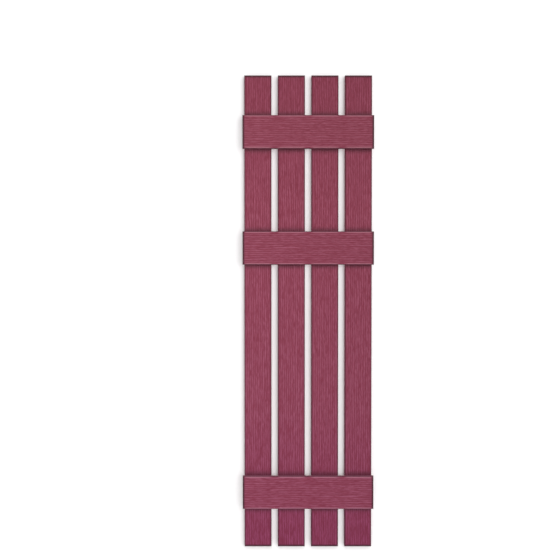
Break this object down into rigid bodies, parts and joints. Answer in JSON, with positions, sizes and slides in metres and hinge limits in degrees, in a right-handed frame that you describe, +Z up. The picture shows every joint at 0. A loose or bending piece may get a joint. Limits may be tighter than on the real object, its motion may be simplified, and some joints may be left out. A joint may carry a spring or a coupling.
{
  "type": "board and batten shutter",
  "caption": "Spaced board and batten shutter, moulded plastic with woodgrain: upright boards with open gaps, joined by cross battens, fixed flat on a wall beside a window.",
  "frame": {"origin": "lower left corner of the left outer board's back face, on the wall plane", "axes": "+X to the right along the wall, +Y back into the wall, +Z up; the front faces -Y"},
  "size_m": [0.387, 0.0317, 1.397],
  "materials": {
    "board_plastic": "burgundy moulded copolymer, coloured through, with an upright woodgrain and a low sheen",
    "batten_plastic": "burgundy moulded copolymer, coloured through, with a level woodgrain and a low sheen",
    "screw_steel": "plain stainless steel, on the assembly screws seen only from behind"
  },
  "bodies": {
    "root": {"left_outer_board": "board_plastic", "left_inner_board": "board_plastic", "right_inner_board": "board_plastic", "right_outer_board": "board_plastic", "top_batten": "batten_plastic", "middle_batten": "batten_plastic", "bottom_batten": "batten_plastic"}
  },
  "joints": []
}
